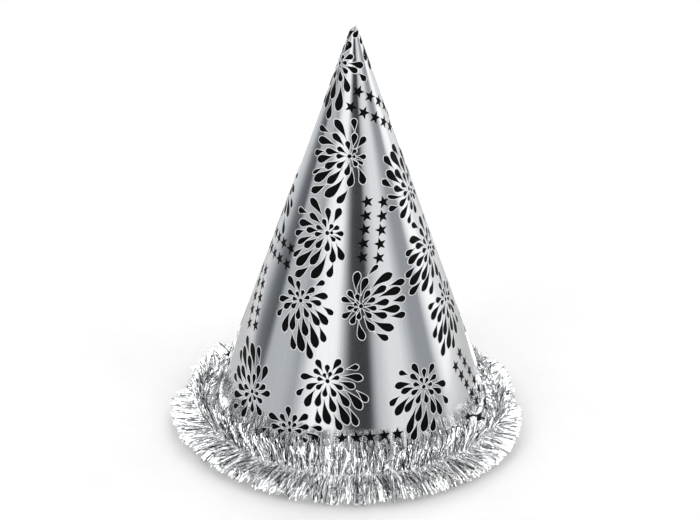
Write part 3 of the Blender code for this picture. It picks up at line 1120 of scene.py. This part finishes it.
def make_floor():
    """The pale floor, which reflections don't see: its ring below and the studio stand in for it there."""
    pale = (FLOOR_ALBEDO,) * 3
    paler = (FLOOR_ALBEDO + 0.01,) * 3
    made = speckled_material("pale_floor", 60, 2, pale, paler, Roughness=0.9)[0]
    mesh = bpy.data.meshes.new("floor")
    corners = [(FLOOR_REACH * x, FLOOR_REACH * y, 0) for x, y in ((-1, -1), (1, -1), (1, 1), (-1, 1))]
    mesh.from_pydata(corners, [], [(0, 1, 2, 3)])
    mesh.materials.append(made)
    floor = bpy.data.objects.new("floor", mesh)
    floor.location.z = -FLOOR_DEPTH
    floor.visible_glossy = False
    bpy.context.scene.collection.objects.link(floor)


def make_mirrored_floor():
    """The floor as the foil mirrors it: a ring round the hat that only reflections see."""
    made, tree, shader = new_material("mirrored_floor", Roughness=0.9)
    place = node(tree, "TexCoord").outputs["Object"]
    away = node(tree, "VectorMath", {0: place}, operation="LENGTH").outputs["Value"]
    near, far = MIRRORED_RADII
    share = node(tree, "MapRange", {"Value": away, "From Min": near, "From Max": far}).outputs["Result"]
    dark, light = MIRRORED_ALBEDOS
    tree.links.new(blend_colours(tree, share, (dark,) * 3, (light,) * 3), shader.inputs["Base Color"])
    turn = np.linspace(0, 2 * math.pi, MIRRORED_CORNERS, endpoint=False)
    circle = np.stack([np.cos(turn), np.sin(turn), 0 * turn], -1)
    mesh = bpy.data.meshes.new("mirrored_floor")
    steps = [(step, (step + 1) % MIRRORED_CORNERS) for step in range(MIRRORED_CORNERS)]
    faces = [(one, other, MIRRORED_CORNERS + other, MIRRORED_CORNERS + one) for one, other in steps]
    mesh.from_pydata(np.concatenate([near * circle, far * circle]).tolist(), [], faces)
    mesh.materials.append(made)
    ring = bpy.data.objects.new("mirrored_floor", mesh)
    ring.location.z = -2 * FLOOR_DEPTH
    ring.visible_camera = False
    ring.visible_diffuse = False
    ring.visible_shadow = False
    bpy.context.scene.collection.objects.link(ring)


def make_light(name, bearing, rise):
    """A square soft box that looks at the hat."""
    light = bpy.data.lights.new(name, "AREA")
    light.size = LIGHT_SIZE
    light.energy = LIGHT_POWER
    lamp = bpy.data.objects.new(name, light)
    side = CAMERA_SIDE + math.radians(bearing)
    tilt = math.radians(rise)
    back = Vector((math.sin(side) * math.cos(tilt), -math.cos(side) * math.cos(tilt), math.sin(tilt)))
    lamp.location = back * LIGHT_DISTANCE
    lamp.rotation_mode = "QUATERNION"
    lamp.rotation_quaternion = (-back).to_track_quat("-Z", "Y")
    bpy.context.scene.collection.objects.link(lamp)


def make_camera():
    """The camera at the photograph's viewing angle."""
    camera = bpy.data.cameras.new("camera")
    camera.sensor_width = 36
    camera.lens = LENS
    camera.shift_x = LENS_SHIFT
    camera.clip_end = 50
    side = Vector((math.sin(CAMERA_SIDE), -math.cos(CAMERA_SIDE), 0))
    level = Vector((math.cos(CAMERA_SIDE), math.sin(CAMERA_SIDE), 0))
    ahead = -side * math.cos(CAMERA_PITCH) - Vector((0, 0, math.sin(CAMERA_PITCH)))
    over = level.cross(ahead)
    right = level * math.cos(CAMERA_ROLL) + over * math.sin(CAMERA_ROLL)
    up = over * math.cos(CAMERA_ROLL) - level * math.sin(CAMERA_ROLL)
    turn = Matrix((right, up, -ahead)).transposed()
    height = CAMERA_DISTANCE * math.sin(CAMERA_RISE)
    place = side * CAMERA_DISTANCE * math.cos(CAMERA_RISE) + Vector((0, 0, height))
    rig = bpy.data.objects.new("camera", camera)
    rig.matrix_world = Matrix.Translation(place) @ turn.to_4x4()
    bpy.context.scene.collection.objects.link(rig)
    bpy.context.scene.camera = rig


def main():
    ink = ink_material()
    make_card(foil_material(), board_material())
    make_print(ink, outline_material())
    tinsel = tinsel_material_with_painted_shade()
    make_brush("tinsel_strands_upper", "tinsel_foil_upper", 11, UPWARD, 0.40, tinsel)
    make_brush("tinsel_strands_lower", "tinsel_foil_lower", 12, OUTWARD, 0, tinsel)
    make_core_threads(thread_material())
    make_glue(painted_shade_glue_material())
    make_elastic(elastic_material())
    tape = frame["nodes"]["seam_tape"]
    tape.data.materials.clear()
    tape.data.materials.append(tape_material())
    make_world()
    make_floor()
    make_mirrored_floor()
    for name, bearing, rise in LIGHTS:
        make_light(name, bearing, rise)
    make_camera()
    bpy.context.scene.view_settings.view_transform = "Standard"


main()
